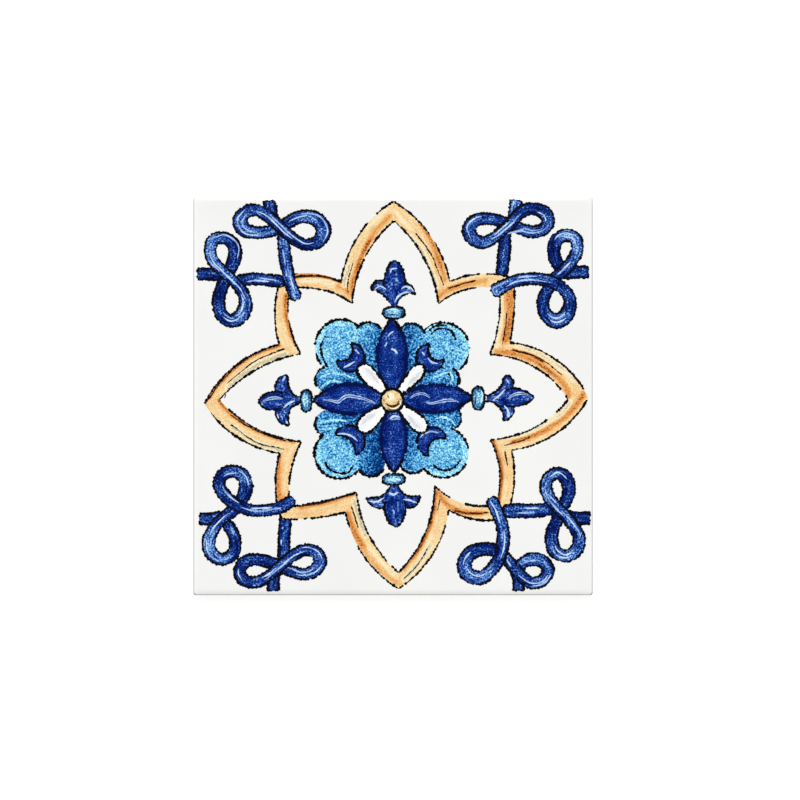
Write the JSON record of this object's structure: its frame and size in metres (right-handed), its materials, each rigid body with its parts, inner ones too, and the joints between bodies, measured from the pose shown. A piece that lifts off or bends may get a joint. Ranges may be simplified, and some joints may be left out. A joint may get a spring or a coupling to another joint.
{
  "type": "decorative wall tile",
  "caption": "Square glazed ceramic wall tile with cushioned edges, a painted majolica ornament on its face and a ribbed back that beds in adhesive.",
  "frame": {"origin": "centre of the plane that the ribbed back bears on", "axes": "+Z out of the glazed face, +Y towards the ornament's top as pictured, +X to its right"},
  "size_m": [0.2, 0.2, 0.007],
  "materials": {
    "glazed_body": "gloss tin-white glaze with a blue, turquoise and ochre ornament over a cream unglazed body"
  },
  "bodies": {
    "root": {"tile": "glazed_body"}
  },
  "joints": []
}
